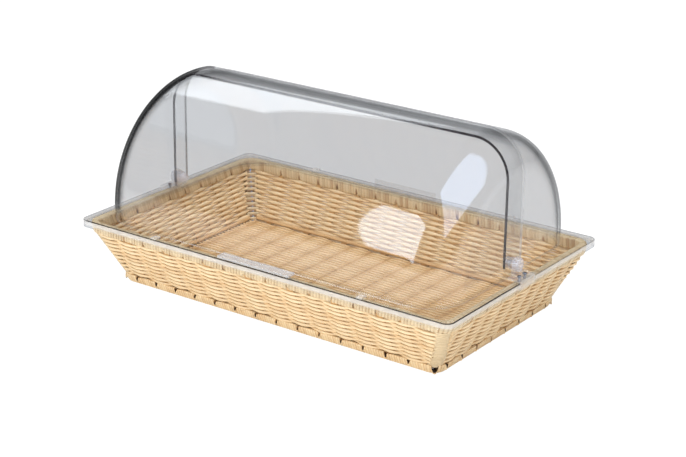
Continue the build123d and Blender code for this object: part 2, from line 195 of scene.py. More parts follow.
# What share a face passes, by how much of a glance it is met at: on the long bend, and at the tight ends.
# The dips are painted shade: the sheet's dark outline.
GLANCE = (
    (0.0, 1.0),
    (0.595, 1.0),
    (0.62, 0.985),
    (0.66, 0.965),
    (0.72, 0.92),
    (0.755, 0.77),
    (0.775, 0.77),
    (0.81, 0.91),
    (1.0, 0.92),
)
BEND_GLANCE = (
    (0.0, 1.0),
    (0.4, 0.99),
    (0.44, 0.96),
    (0.475, 0.9),
    (0.52, 0.78),
    (0.6, 0.7),
    (0.66, 0.5),
    (0.71, 0.24),
    (0.88, 0.24),
    (1.0, 0.6),
)
BEND_FADE = 20.0 * MM  # over which the long bend's look becomes the tight ends'
END_FADE = 4.0 * MM
CLEAR_FOOT = FRONT_LOW.z + 11.0 * MM  # below this the tight ends are no darker
FOOT_FADE = 6.0 * MM

# The sheet's cut edges, painted near black as shade and pale as a painted glint, and milky plastic.
EDGE_SHADE_COLOUR = (0.022, 0.016, 0.024)
EDGE_ROUGHNESS, EDGE_SPECULAR = 0.12, 0.15
EDGE_MOTTLE, EDGE_DEEP = 160.0, 0.6  # the deep shade is this share of the pale one
EDGE_GLINT = (0.92, 0.93, 0.94)
MILK_ROUGHNESS = 0.15
MILK_MOTTLE, MILK_DEEP = 120.0, 0.88

# The clear frame: its top line is painted shade, fainter at the rear and left, and the milk on its skirt is
# a painted sheen.
FRAME_LINE_SHADE_COLOUR = (0.05, 0.04, 0.035)
FRAME_LINE = 1.0 * MM
FRAME_DARK = 0.9  # the line's share of painted dark
FRAME_REAR_FADE = 0.55  # and how much less at the rear and left
STOP_HEIGHT = 2.2 * MM
FLANGE_TOP = FRAME_HIGH.z - STOP_HEIGHT + 0.1 * MM  # a hair above it
FRAME_LINE_FOOT = FLANGE_TOP - 1.3 * MM
SKIRT_WALL = 2.6 * MM
SKIRT_FOOT = FLANGE_TOP - 6.5 * MM
SKIRT_COLOUR = (0.89, 0.87, 0.84)
SKIRT_SHEEN_AND_MILK = 0.34
SKIRT_ROUGHNESS = 0.2


def finish(name):
    """An empty node material with its tree and output."""
    material = bpy.data.materials.new(name)
    material.use_nodes = True
    tree = material.node_tree
    tree.nodes.clear()
    output = tree.nodes.new("ShaderNodeOutputMaterial")
    return material, tree, output


def ramp(tree, stops):
    """A colour ramp with these (position, colour) stops."""
    node = tree.nodes.new("ShaderNodeValToRGB")
    elements = node.color_ramp.elements
    while len(elements) < len(stops):
        elements.new(0.5)
    for element, (position, colour) in zip(elements, stops):
        element.position = position
        element.color = (*colour, 1.0)
    return node


def maths(tree, operation, first, second):
    """A math node on two sockets or numbers, and its result."""
    node = tree.nodes.new("ShaderNodeMath")
    node.operation = operation
    for socket, value in zip(node.inputs, (first, second)):
        if isinstance(value, (int, float)):
            socket.default_value = value
        else:
            tree.links.new(value, socket)
    return node.outputs[0]


def noise(tree, scale, detail=NOISE_DETAIL):
    """Noise on the object's own coordinates."""
    place = tree.nodes.new("ShaderNodeTexCoord")
    node = tree.nodes.new("ShaderNodeTexNoise")
    node.inputs["Scale"].default_value = scale
    node.inputs["Detail"].default_value = detail
    tree.links.new(place.outputs["Object"], node.inputs["Vector"])
    return node.outputs[0]


def opaque(tree, roughness, specular=0.5):
    """A plain opaque shader."""
    shader = tree.nodes.new("ShaderNodeBsdfPrincipled")
    shader.inputs["Roughness"].default_value = roughness
    shader.inputs["Specular IOR Level"].default_value = specular
    return shader


def mottle(tree, shader, deep, pale, scale):
    """Varies the shader's colour softly between two shades."""
    shades = ramp(tree, list(zip(MOTTLE_STOPS, (deep, pale))))
    tree.links.new(noise(tree, scale), shades.inputs[0])
    tree.links.new(shades.outputs[0], shader.inputs["Base Color"])


def cane_finish(name, pale, deep, shadow=None, dark=None):
    """Cane: a little glossy, with a fine grain.

    With four colours it is for cords, each strand a shade of its own. The strand attribute falls below 0
    where shade is painted into crevices, creases and holes, which take the painted shadow brown and near
    black.
    """
    material, tree, output = finish(name)
    shader = opaque(tree, CANE_ROUGHNESS, CANE_SPECULAR)
    tree.links.new(shader.outputs[0], output.inputs[0])
    shade = noise(tree, CANE_MOTTLE)
    if shadow:
        strand = tree.nodes.new("ShaderNodeAttribute")
        strand.attribute_name = "strand"
        own = maths(tree, "MULTIPLY", strand.outputs["Fac"], STRAND_SHARE)
        shade = maths(tree, "ADD", maths(tree, "MULTIPLY", shade, 1.0 - STRAND_SHARE), own)
        shade = maths(tree, "DIVIDE", maths(tree, "ADD", shade, 1.0), 2.0)
        stops = list(zip(CORD_STOPS, (dark, shadow, deep, pale)))
    else:
        stops = list(zip(STRAP_STOPS, (deep, pale)))
    colours = ramp(tree, stops)
    tree.links.new(shade, colours.inputs[0])
    tree.links.new(colours.outputs[0], shader.inputs["Base Color"])
    bump = tree.nodes.new("ShaderNodeBump")
    bump.inputs["Strength"].default_value = GRAIN_STRENGTH
    bump.inputs["Distance"].default_value = GRAIN_DEPTH
    tree.links.new(noise(tree, CANE_GRAIN, GRAIN_DETAIL), bump.inputs["Height"])
    tree.links.new(bump.outputs[0], shader.inputs["Normal"])
    return material


def object_axes(tree):
    """The object's own coordinates, apart."""
    place = tree.nodes.new("ShaderNodeTexCoord")
    split = tree.nodes.new("ShaderNodeSeparateXYZ")
    tree.links.new(place.outputs["Object"], split.inputs[0])
    return split.outputs


def tinted(tree, passed, curve, facing):
    """What a face passes for how squarely it is met: curve holds (facing, share passed)."""
    colours = ramp(tree, [(at, tuple(share * c for c in passed)) for at, share in curve])
    tree.links.new(facing, colours.inputs[0])
    return colours.outputs[0]


def colour_mix(tree, share, first, second):
    """Two colours mixed, each a socket or a constant."""
    node = tree.nodes.new("ShaderNodeMix")
    node.data_type = "RGBA"
    tree.links.new(share, node.inputs["Factor"])
    sockets = [socket for socket in node.inputs if socket.type == "RGBA"]
    for socket, colour in zip(sockets, (first, second)):
        if isinstance(colour, tuple):
            socket.default_value = (*colour, 1.0)
        else:
            tree.links.new(colour, socket)
    return next(socket for socket in node.outputs if socket.type == "RGBA")


def mixed(tree, share, first, second):
    """Two shaders mixed by a number or a socket."""
    mix = tree.nodes.new("ShaderNodeMixShader")
    if isinstance(share, float):
        mix.inputs[0].default_value = share
    else:
        tree.links.new(share, mix.inputs[0])
    tree.links.new(first, mix.inputs[1])
    tree.links.new(second, mix.inputs[2])
    return mix.outputs[0]


def bend_mask(tree, half_length):
    """1 where a cover bends tightly, near its ends, and 0 on its long bend, its flat ends and its foot."""
    axes = object_axes(tree)
    out = maths(tree, "ABSOLUTE", axes[0], 0.0)
    along = maths(tree, "DIVIDE", maths(tree, "SUBTRACT", out, BENT_FROM), BEND_FADE)
    flat = maths(tree, "DIVIDE", maths(tree, "SUBTRACT", half_length, out), END_FADE)
    above = maths(tree, "DIVIDE", maths(tree, "SUBTRACT", axes[2], CLEAR_FOOT), FOOT_FADE)
    least = maths(tree, "MINIMUM", maths(tree, "MINIMUM", along, flat), above)
    return maths(tree, "MAXIMUM", maths(tree, "MINIMUM", least, 1.0), 0.0)


def clear_shader(tree, passed, half_length=None, bend_share=1.0):
    """Clear sheet: each face passes tinted light, and is mirror-like and painted darker where met at a
    glance.

    A cover, which has a half length, bends tighter at its ends, so its painted dark outline is broader
    there.
    """
    weight = tree.nodes.new("ShaderNodeLayerWeight")
    weight.inputs["Blend"].default_value = 0.5
    facing = weight.outputs["Facing"]
    tint = tinted(tree, passed, GLANCE, facing)
    if half_length:
        bend = maths(tree, "MULTIPLY", bend_mask(tree, half_length), bend_share)
        tint = colour_mix(tree, bend, tint, tinted(tree, passed, BEND_GLANCE, facing))
    path = tree.nodes.new("ShaderNodeLightPath")
    tint = colour_mix(tree, path.outputs["Is Shadow Ray"], tint, LIT_THROUGH)
    through = tree.nodes.new("ShaderNodeBsdfTransparent")
    tree.links.new(tint, through.inputs["Color"])
    mirror = tree.nodes.new("ShaderNodeBsdfGlossy")
    mirror.inputs["Roughness"].default_value = SHEET_ROUGHNESS
    rising = maths(tree, "MULTIPLY", maths(tree, "POWER", facing, GLANCE_LATENESS), GLANCE_GLOSS)
    return mixed(tree, maths(tree, "ADD", rising, FACE_GLOSS), through.outputs[0], mirror.outputs[0])


def edge_shader(tree, colour):
    """A cut edge of the sheet, where the light is lost: painted near black as shade, with a gloss."""
    shader = opaque(tree, EDGE_ROUGHNESS, EDGE_SPECULAR)
    mottle(tree, shader, tuple(EDGE_DEEP * c for c in colour), colour, EDGE_MOTTLE)
    return shader.outputs[0]


def milk_shader(tree, colour, roughness=MILK_ROUGHNESS):
    """Moulded plastic with faint unevenness."""
    shader = opaque(tree, roughness)
    mottle(tree, shader, tuple(MILK_DEEP * c for c in colour), colour, MILK_MOTTLE)
    return shader.outputs[0]


def milky_finish(name, passed, colour, share, roughness=MILK_ROUGHNESS):
    """Clear plastic, part of whose face is milky."""
    material, tree, output = finish(name)
    body = mixed(tree, share, clear_shader(tree, passed), milk_shader(tree, colour, roughness))
    tree.links.new(body, output.inputs[0])
    return material


def cover_finish(name, half_length, cut, bend_share, line_width, line_share):
    """A cover's sheet, with a painted dark line beside its cut edge, for the shade the edge throws into it.
    """
    material, tree, output = finish(name)
    side = "GREATER_THAN" if cut > 0 else "LESS_THAN"
    line = maths(tree, side, object_axes(tree)[1], cut - math.copysign(line_width, cut))
    sheet = clear_shader(tree, SHEET, half_length, bend_share)
    body = mixed(tree, maths(tree, "MULTIPLY", line, line_share), sheet, edge_shader(tree, EDGE_SHADE_COLOUR))
    tree.links.new(body, output.inputs[0])
    return material


def edge_finish(name, dark_share, left_share, glint_share):
    """A cut edge of the sheet: part painted dark as shade, by another share at its left end, and the rest
    clear or with a milky painted glint.
    """
    material, tree, output = finish(name)
    left = maths(tree, "LESS_THAN", object_axes(tree)[0], -BENT_FROM)
    dark = maths(tree, "ADD", maths(tree, "MULTIPLY", left, left_share - dark_share), dark_share)
    clear = mixed(tree, glint_share, clear_shader(tree, SHEET), milk_shader(tree, EDGE_GLINT))
    body = mixed(tree, dark, clear, edge_shader(tree, EDGE_SHADE_COLOUR))
    tree.links.new(body, output.inputs[0])
    return material


def rim_mask(tree, half_x, half_y, radius, width, low, high):
    """1 within a width of a rounded rectangle's outline and between two levels, else 0."""
    axes = object_axes(tree)
    join = tree.nodes.new("ShaderNodeCombineXYZ")
    for axis, half in ((0, half_x), (1, half_y)):
        out = maths(tree, "ABSOLUTE", axes[axis], 0.0)
        past = maths(tree, "MAXIMUM", maths(tree, "SUBTRACT", out, half - radius), 0.0)
        tree.links.new(past, join.inputs[axis])
    length = tree.nodes.new("ShaderNodeVectorMath")
    length.operation = "LENGTH"
    tree.links.new(join.outputs[0], length.inputs[0])
    near = maths(tree, "GREATER_THAN", length.outputs["Value"], radius - width)
    above = maths(tree, "GREATER_THAN", axes[2], low)
    below = maths(tree, "LESS_THAN", axes[2], high)
    return maths(tree, "MULTIPLY", near, maths(tree, "MULTIPLY", above, below))


def frame_finish(name):
    """The clear frame: a painted dark line round its top, fainter at the rear and left, and a milky painted
    sheen on its skirt.
    """
    material, tree, output = finish(name)
    outline = (FRAME_HIGH.x, FRAME_HIGH.y, FRAME_CORNER)
    line = rim_mask(tree, *outline, FRAME_LINE, FRAME_LINE_FOOT, FLANGE_TOP)
    skirt = rim_mask(tree, *outline, SKIRT_WALL, SKIRT_FOOT, FRAME_LINE_FOOT)
    axes = object_axes(tree)
    stops = maths(tree, "GREATER_THAN", axes[2], FLANGE_TOP)
    rear = maths(tree, "GREATER_THAN", axes[1], 0.0)
    left = maths(tree, "LESS_THAN", axes[0], FRAME_CORNER - FRAME_HIGH.x)
    faint = maths(tree, "MULTIPLY", maths(tree, "MAXIMUM", rear, left), FRAME_REAR_FADE)
    dark = maths(tree, "MULTIPLY", line, maths(tree, "SUBTRACT", FRAME_DARK, faint))
    # A painted sheen on the skirt, and milk on the stops.
    sheen_and_milk = maths(tree, "MULTIPLY", maths(tree, "MAXIMUM", skirt, stops), SKIRT_SHEEN_AND_MILK)
    milk = milk_shader(tree, SKIRT_COLOUR, SKIRT_ROUGHNESS)
    clear = mixed(tree, sheen_and_milk, clear_shader(tree, MOULDING), milk)
    body = mixed(tree, dark, clear, edge_shader(tree, FRAME_LINE_SHADE_COLOUR))
    tree.links.new(body, output.inputs[0])
    return material


def steel_finish(name):
    """Drawn steel wire: dull grey metal, a little uneven."""
    material, tree, output = finish(name)
    shader = opaque(tree, STEEL_ROUGHNESS)
    shader.inputs["Metallic"].default_value = 1.0
    mottle(tree, shader, *STEEL_SHADES, STEEL_MOTTLE)
    tree.links.new(shader.outputs[0], output.inputs[0])
    return material


# The last two colours of a cord finish are painted shade: shadow brown for crevices and creases, near black
# for holes.
WEAVE = cane_finish(
    "woven_cane", (0.88, 0.69, 0.43), (0.79, 0.57, 0.32), (0.62, 0.37, 0.16), (0.05, 0.025, 0.012)
)
WRAP = cane_finish(
    "wrapped_cane", (0.73, 0.58, 0.37), (0.65, 0.5, 0.3), (0.42, 0.25, 0.12), (0.03, 0.016, 0.009)
)
# The stakes' flat cane is a deeper orange-brown than the weave: painted shade, for the gaps where they
# show.
SHADED_STRAP = cane_finish("flat_cane_shaded", (0.74, 0.46, 0.2), (0.6, 0.35, 0.14))
# The dark lines and cut edges of the covers are painted shade; the milk on the front edge is a painted
# glint.
FRONT_SHEET = cover_finish(
    "front_clear_sheet", FRONT_HIGH.x, OVERLAP, bend_share=1.0, line_width=0.3 * MM, line_share=0.3
)
REAR_SHEET = cover_finish(
    "rear_clear_sheet", REAR_HIGH.x, -OVERLAP, bend_share=0.35, line_width=0.6 * MM, line_share=1.0
)
FRONT_EDGE = edge_finish("front_sheet_edge", dark_share=0.1, left_share=0.6, glint_share=0.3)
REAR_EDGE = edge_finish("rear_sheet_edge", dark_share=0.95, left_share=0.7, glint_share=0.0)
# The seat edge's faint milk is a painted glint.
SEAT_GLINT_EDGE = milky_finish("sheet_foot_edge_glint", SHEET, (0.85, 0.87, 0.9), share=0.08, roughness=0.3)
GRIP_PLASTIC = milky_finish("milky_lip", MOULDING, (0.84, 0.87, 0.92), share=0.3)
PAD_PLASTIC = milky_finish("clear_pad", MOULDING, (0.8, 0.8, 0.82), share=0.06)
BRACKET_PLASTIC = milky_finish("milky_bracket", MOULDING, (0.9, 0.88, 0.92), share=0.14)
PIVOT_PLASTIC = milky_finish("milky_pivot", MOULDING, (0.92, 0.89, 0.94), share=0.22)
CLEAR_FRAME = frame_finish("clear_frame_sheet")
STEEL = steel_finish("drawn_steel")


# ---------------------------------------------------------------- cords and rings

# How sharply the painted shade of crevices deepens towards the work's middle.
CREVICE_SHADE_SHARPNESS = 1.5
NOTCH_SQUARENESS = 3


def rounded(turn, exponent):
    """A point of a rounded outline one unit each way: exponent 1 is an oval, near 0 a box."""
    c, s = math.cos(turn), math.sin(turn)
    return math.copysign(abs(c) ** exponent, c), math.copysign(abs(s) ** exponent, s)


class Cords:
    """Gathers closed tubes with oval sections into one mesh, with a shade for each.

    Where they have a depth, what lies nearer the middle of the work than that is painted darker, as shade
    in crevices.
    """

    def __init__(self, sides, depth=None, crevice=0.0):
        self.sides = sides
        self.depth, self.deepest_shade = depth, crevice
        self.points, self.faces, self.shades = [], [], []

    def crevice(self, level):
        """The painted shade that darkens a place at this level from the work's middle."""
        if not self.depth:
            return 0.0
        return self.deepest_shade * (1.0 - min(1.0, abs(level) / self.depth)) ** CREVICE_SHADE_SHARPNESS

    def skin(self, first, rings, loop):
        """Faces round and along a run of equal rings of points."""
        sides = self.sides
        for i in range(rings if loop else rings - 1):
            a = first + i * sides
            b = first + ((i + 1) % rings) * sides
            for k in range(sides):
                m = (k + 1) % sides
                self.faces.append((a + k, b + k, b + m, a + m))
        if not loop:
            last = first + (rings - 1) * sides
            self.faces.append(tuple(first + k for k in range(sides)))
            self.faces.append(tuple(last + k for k in reversed(range(sides))))

    def tube(self, stations, shade):
        """A cord through stations of (middle, across, out, half height, half thickness, swing)."""
        first = len(self.points)
        for middle, across, out, tall, thick, swing in stations:
            for k in range(self.sides):
                turn = 2 * math.pi * (k + 0.5) / self.sides
                wide, high = math.cos(turn), math.sin(turn)
                self.points.append(middle + across * (tall * high) + out * (thick * wide))
                # Each point's tone, less the painted shade of crevices at its level.
                self.shades.append(shade - self.crevice(swing + thick * wide))
        self.skin(first, len(stations), loop=False)

    def piece(self, name, material):
        """The gathered tubes as one piece, its shades, painted shade included, in the strand attribute."""
        obj = new_piece(name, self.points, self.faces, material)
        layer = obj.data.attributes.new("strand", "FLOAT", "POINT")
        layer.data.foreach_set("value", self.shades)
        mesh = bmesh.new()
        mesh.from_mesh(obj.data)
        bmesh.ops.recalc_face_normals(mesh, faces=mesh.faces)
        mesh.to_mesh(obj.data)
        mesh.free()
        for polygon in obj.data.polygons:
            polygon.use_smooth = True
        return obj


class Ring:
    """A level rounded rectangle, walked anticlockwise from the middle of its right end."""

    def __init__(self, half_x, half_y, radius):
        self.halves = (half_x, half_y)
        self.radius = radius
        self.bend = math.pi / 2 * radius
        self.quarter = half_x + half_y - 2 * radius + self.bend
        self.length = 4 * self.quarter

    def before(self, side):
        """From the middle of a side to where its corner starts to bend."""
        return self.halves[1 - side % 2] - self.radius

    def at(self, distance):
        """The place and the outward direction at a distance along it."""
        number, along = divmod(distance % self.length, self.quarter)
        side = int(number) % 4
        start = (Vector((1, 0, 0)), Vector((0, 1, 0)), Vector((-1, 0, 0)), Vector((0, -1, 0)))[side]
        ahead = Vector((-start.y, start.x, 0))
        start_half, ahead_half = self.halves[side % 2], self.halves[1 - side % 2]
        before = self.before(side)
        if along < before:
            return start * start_half + ahead * along, start
        if along < before + self.bend:
            turn = (along - before) / self.radius
            out = start * math.cos(turn) + ahead * math.sin(turn)
            return start * (start_half - self.radius) + ahead * before + out * self.radius, out
        rest = along - before - self.bend
        return ahead * ahead_half + start * (start_half - self.radius - rest), ahead


def stake_places(count):
    """Middles of the stakes along a wall."""
    return [(i - (count - 1) / 2) * STAKE_PITCH for i in range(count)]


def ring_stakes(ring):
    """Distances round a ring at which the stakes stand."""
    return [
        side * ring.quarter + place
        for side in range(4)
        for place in stake_places(CROSS_STAKES if side % 2 else END_STAKES)
    ]


def nearest(distance, marks, length):
    """Signed distance from the nearest of some marks round a ring."""
    gaps = [(distance - mark + length / 2) % length - length / 2 for mark in marks]
    return min(gaps, key=abs)


def soft_notch(gap, half_width):
    """1 at a notch's middle, falling smoothly to 0 at its sides."""
    return max(0.0, 1.0 - abs(gap / half_width) ** NOTCH_SQUARENESS)


# ---------------------------------------------------------------- the woven walls

ROW_PITCH = 3.0 * MM  # along the slope
STRAND_HEIGHT = 3.15 * MM
STRAND_BULGE = 1.8 * MM  # extra height where a strand shows over a stake
BULGE_SHARPNESS = 3
STRAND_THICKNESS = 3.0 * MM
STRAND_SWING = 2.25 * MM  # in front of a stake or behind it
ROW_WANDER = 0.12 * MM  # each row lies this much too high or too low at most
STEPS_A_BAY = 14
WALL_CREVICE_SHADE = 0.7  # painted shade: what the wall's middle loses of its tone
STRAND_SIDES = 8
CORNER_STEPS = 12
INTO_CORNER = 3.5 * MM  # the walls run on this far past where the corner starts to bend
TURN_HEIGHT = 2.8 * MM
INNER_TURN_HEIGHT = 4.2 * MM
TURN_THICKNESS = 2.8 * MM
SUNK_TURN = 1.3 * MM  # every other inner turn is pressed deeper, and painted darker for it, as shade
# Painted shade on the inner turns, and more on the pressed ones.
SUNK_TURN_SHADE = 1.1
INNER_TURN_SHADE = 0.4
TURN_SWING = 2.2 * MM  # the outer turns go round the corner wire and the inner ones inside it
TURN_FULLNESS = 0.8  # the smaller, the sooner a turn leaves the wall
WIRE_RADIUS = 2.0 * MM
WIRE_SINKS = 0.41 * MM / (10.0 * MM)  # the wire leans in from the corner's middle as it rises
HIDDEN_SHADE = -0.7  # painted shade: the lowest row, inside the foot, is painted dark as it lies in shade
LOWEST_ROW = FLOOR_HIGH.z - 0.6 * MM


def middle_half(level):
    """Half length and half depth of the walls' middle surface at a level."""
    drop = level - WALL_TOP
    inset = WALL_THICKNESS / 2
    return HALF_X_TOP + FLARE_X * drop - inset, HALF_Y_TOP + FLARE_Y * drop - inset


def swing_at(place, count, row):
    """How far a strand stands out (1) or in (-1) at a place along a wall."""
    bay = place / STAKE_PITCH + (count - 1) / 2
    return math.cos(math.pi * (bay + row))


def rows():
    """Levels of the rows up the wall. The lowest one lies inside the foot."""
    slope = (WALL_TOP - LOWEST_ROW) / math.cos(LEAN)
    count = int(slope / ROW_PITCH)
    rise = (WALL_TOP - LOWEST_ROW) / count
    return [LOWEST_ROW + (i + 0.5) * rise for i in range(count)]


def sloped(flat):
    """The outward and the upward direction of a leaning wall that faces flat."""
    out = Vector((flat.x * math.cos(LEAN), flat.y * math.cos(LEAN), -math.sin(LEAN)))
    up = Vector((flat.x * math.sin(LEAN), flat.y * math.sin(LEAN), math.cos(LEAN)))
    return out, up


def wall_station(along, level, side, count, row):
    """One section of a wall strand: side is the wall's outward direction."""
    half_x, half_y = middle_half(level)
    swing = swing_at(along, count, row) if row else -1.0
    out, up = sloped(side)
    if side.x:
        middle = Vector((side.x * half_x, side.x * along, level))
    else:
        middle = Vector((-side.y * along, side.y * half_y, level))
    tall = STRAND_HEIGHT / 2 + STRAND_BULGE / 2 * abs(swing) ** BULGE_SHARPNESS
    offset = STRAND_SWING * swing
    return middle + out * offset, up, out, tall, STRAND_THICKNESS / 2, offset


def weave_wall(name, side, count, seed):
    """One wall: every row a strand that goes in front of one stake and behind the next."""
    rng = random.Random(seed)
    cords = Cords(STRAND_SIDES, WALL_THICKNESS / 2, WALL_CREVICE_SHADE)
    for row, level in enumerate(rows()):
        half_x, half_y = middle_half(level)
        reach = (half_y if side.x else half_x) + WALL_THICKNESS / 2 - CORNER_RADIUS + INTO_CORNER
        steps = int(2 * reach / STAKE_PITCH * STEPS_A_BAY)
        lift = rng.uniform(-ROW_WANDER, ROW_WANDER)
        stations = [
            wall_station(-reach + 2 * reach * i / steps, level + lift, side, count, row)
            for i in range(steps + 1)
        ]
        shade = rng.random()
        # The lowest row is painted dark, as shade.
        cords.tube(stations, shade if row else HIDDEN_SHADE)
    return cords.piece(name, WEAVE)


def turn_stations(centre, sx, sy, radius, swing, tall):
    """One strand's turn round a corner, bowed out or in by the swing."""
    stations = []
    for i in range(CORNER_STEPS + 1):
        turn = math.pi / 2 * i / CORNER_STEPS
        flat = Vector((sx * math.cos(turn), sy * math.sin(turn), 0.0))
        out, up = sloped(flat)
        offset = swing * max(0.0, math.sin(2 * turn)) ** TURN_FULLNESS
        place = centre + flat * (radius + offset)
        stations.append((place, up, out, tall / 2, TURN_THICKNESS / 2, offset))
    return stations


def corner_turns(name, seed):
    """The strands' turns round the four corner wires, outside and inside."""
    rng = random.Random(seed)
    cords = Cords(STRAND_SIDES)
    radius = CORNER_RADIUS - WALL_THICKNESS / 2
    for row, level in enumerate(rows()):
        half_x, half_y = middle_half(level)
        sunk = row % 2
        inside = -(WIRE_RADIUS + WIRE_SINKS * level) + SUNK_TURN * sunk
        for sx, sy in ((1, 1), (-1, 1), (-1, -1), (1, -1)):
            corner = (Vector((sx * (half_x - radius), sy * (half_y - radius), level)), sx, sy, radius)
            cords.tube(turn_stations(*corner, TURN_SWING, TURN_HEIGHT), rng.random())
            # The inner turns take painted shade, deeper on the pressed ones.
            shade = rng.random() - INNER_TURN_SHADE - SUNK_TURN_SHADE * sunk
            tall = TURN_HEIGHT if sunk else INNER_TURN_HEIGHT
            cords.tube(turn_stations(*corner, inside, tall), shade)
    return cords.piece(name, WRAP)


# Each wall's name, outward direction, number of stakes and seed.
WALLS = (
    ("front", Vector((0, -1, 0)), CROSS_STAKES, 11),
    ("rear", Vector((0, 1, 0)), CROSS_STAKES, 12),
    ("left", Vector((-1, 0, 0)), END_STAKES, 13),
    ("right", Vector((1, 0, 0)), END_STAKES, 14),
)
for wall_name, wall_side, wall_stakes, wall_seed in WALLS:
    woven = weave_wall(wall_name + "_weave_cords", wall_side, wall_stakes, wall_seed)
    stands_for(woven, wall_name + "_weave", "basket")
stands_for(corner_turns("corner_post_cords", seed=15), "corner_posts", "basket")


# ---------------------------------------------------------------- the woven floor

FLOOR_PITCH = 3.2 * MM
FLOOR_WANDER = 0.15 * MM
FLOOR_STEPS_A_BAY = 10
FLOOR_SIDES = 6
FLOOR_SWING = 1.4 * MM  # over a cross stake
FLOOR_SINK = 0.4 * MM  # and under it
FLOOR_CREVICE_SHADE = 1.5  # painted shade: what the floor loses of its tone, most between the stakes
FLOOR_UNEVENNESS = 0.5  # how much the cords differ in colour
FLOOR_BULGE = 0.25 * MM  # at each side, where a cord crosses a stake
FLOOR_TUCK = 2.0 * MM  # under the walls' lowest row
FLOOR_STRAND = 3.4 * MM


def weave_floor(name, seed):
    """Cords along the floor, over one cross stake and under the next, with painted shade between them."""
    rng = random.Random(seed)
    cords = Cords(FLOOR_SIDES, (FLOOR_HIGH.z - FLOOR_LOW.z) / 2, FLOOR_CREVICE_SHADE)
    middle_level = (FLOOR_LOW.z + FLOOR_HIGH.z) / 2
    half_x, half_y = middle_half(middle_level)
    reach_x = half_x - WALL_THICKNESS / 2 + FLOOR_TUCK
    count = round(2 * (half_y - WALL_THICKNESS / 2 + FLOOR_TUCK) / FLOOR_PITCH)
    across, out = Vector((0, 1, 0)), Vector((0, 0, 1))
    steps = int(2 * reach_x / STAKE_PITCH * FLOOR_STEPS_A_BAY)
    for row in range(count):
        y = (row - (count - 1) / 2) * FLOOR_PITCH + rng.uniform(-FLOOR_WANDER, FLOOR_WANDER)
        stations = []
        for i in range(steps + 1):
            x = -reach_x + 2 * reach_x * i / steps
            swing = swing_at(x, CROSS_STAKES, row)
            offset = swing * (FLOOR_SWING if swing > 0 else FLOOR_SINK)
            middle = Vector((x, y, middle_level + offset))
            wide = FLOOR_PITCH / 2 + FLOOR_BULGE * abs(swing)
            # A level for the painted shade only: the cord's top is darkest midway between stakes.
            level = FLOOR_SWING * (2.0 * abs(swing) - 1.0)
            stations.append((middle, across, out, wide, FLOOR_STRAND / 2, level))
        cords.tube(stations, FLOOR_UNEVENNESS * rng.random())
    return cords.piece(name, WEAVE)


stands_for(weave_floor("floor_weave_cords", seed=16), "floor_weave", "basket")


# ---------------------------------------------------------------- the wrapped rim and foot

WRAP_STEPS = 4  # sections a wrap
WRAP_POINTS = 16  # points round a section
WRAP_PITCH = 4.2 * MM
WRAP_SLANT = 1.4 * MM  # the wraps' tops run ahead of their feet
WRAP_RIDGE = 0.8 * MM
WRAP_ROUNDNESS = 0.4  # the smaller, the flatter each wrap and the narrower its crease
WRAP_CREASE_SHADE = 1.3  # painted shade: what a crease loses of its tone
INNER_CREASE_SHADE = 0.3  # of that, on the inside
RIM_NOTCH = 2.6 * MM
HOLE_SHADE = 2.4  # painted shade: what the inside of a hole loses of its tone
INNER_RIM_SHADE = 0.25  # the rim's inner side is as dark as this share of a hole
INNER_RIM_HEIGHT = 0.9  # up to this share of its half height
# Painted shade in the notches over the stakes, as shares of a hole's.
INNER_NOTCH_SHADE, OUTER_NOTCH_SHADE = 0.75, 0.35
FOOT_PITCH = 3.5 * MM
FOOT_RIDGE = 0.55 * MM
FOOT_TOP_RIDGE = 0.5  # of that, on its top and bottom
FOOT_HOLE_HALF = 1.7 * MM
FOOT_HOLE_DEPTH = 5.2 * MM
FOOT_HOLE_FLOOR = 0.8  # only what lies above this share of the half height is painted dark in a hole
FOOT_HOLE_AHEAD = 5.6 * MM  # each hole's middle, before its stake
FOOT_TAIL = 10.0 * MM  # the gap above the foot runs on from each hole, closing up
FOOT_TAIL_DEPTH = 0.9 * MM
FOOT_TAIL_SHADE = 0.35  # the tails' painted shade is lighter and browner than the holes'
FOOT_THICKNESS = 4.8 * MM
CORNER_HOLE = 0.4  # of the way round each corner
CORNER_HOLE_HALF = 3.2 * MM
CORNER_HOLE_DEPTH = 7.5 * MM
FOOT_SQUARENESS = 0.42
RIM_SQUARENESS = 0.45


def wrapped_ring(name, ring, pitch, section, seed, cane):
    """A ring closely wrapped in cane.

    section(distance, turn, ridge) gives (slip, out, up, sunk) of a point, sunk the share of a hole's
    painted shade, 1 inside a hole.
    """
    rng = random.Random(seed)
    cords = Cords(WRAP_POINTS)
    wraps = int(ring.length / pitch)
    rings = wraps * WRAP_STEPS
    for i in range(rings):
        if i % WRAP_STEPS == 0:
            shade = rng.random()
        ridge = math.sin(math.pi * (i % WRAP_STEPS) / WRAP_STEPS) ** WRAP_ROUNDNESS
        distance = ring.length * i / rings
        for k in range(WRAP_POINTS):
            slip, out, up, sunk = section(distance, 2 * math.pi * (k + 0.5) / WRAP_POINTS, ridge)
            place, facing = ring.at(distance + slip)
            cords.points.append(place + facing * out + Vector((0, 0, up)))
            # Painted shade in the creases between wraps, fainter on the inside.
            crease_shade = WRAP_CREASE_SHADE * (1.0 - ridge) * (1.0 if out > 0 else INNER_CREASE_SHADE)
            cords.shades.append(shade - crease_shade - HOLE_SHADE * sunk)
    cords.skin(0, rings, loop=True)
    return cords.piece(name, cane)


